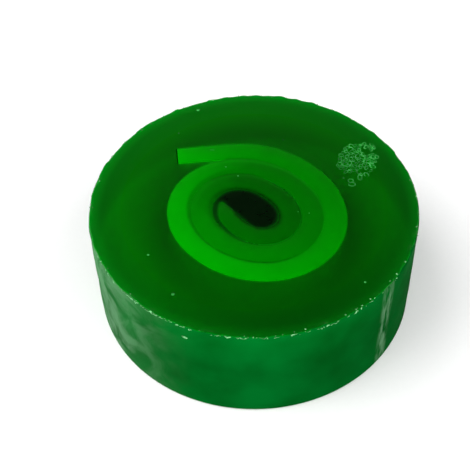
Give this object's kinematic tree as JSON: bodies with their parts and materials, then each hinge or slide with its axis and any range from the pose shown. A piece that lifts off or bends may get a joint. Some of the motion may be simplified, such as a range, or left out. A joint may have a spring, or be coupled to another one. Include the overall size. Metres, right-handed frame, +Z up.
{
  "type": "shaving soap puck",
  "caption": "Round slice of clear glycerin shaving soap with a rolled sheet of opaque soap cast through it, to rest flat in a shaving mug or bowl.",
  "frame": {"origin": "centre of the puck's bottom cut face", "axes": "+Z up along the puck's own axis, square to both cut faces; +X right and +Y away from the viewer with the free tail of the roll at the far left (-X, +Y)"},
  "size_m": [0.07, 0.07, 0.0256],
  "materials": {
    "clear_soap": "satin",
    "clear_core_soap": "satin",
    "opaque_soap": "satin"
  },
  "bodies": {
    "root": {"clear_casting": "clear_soap", "core_fill": "clear_core_soap", "rolled_sheet": "opaque_soap"}
  },
  "joints": []
}
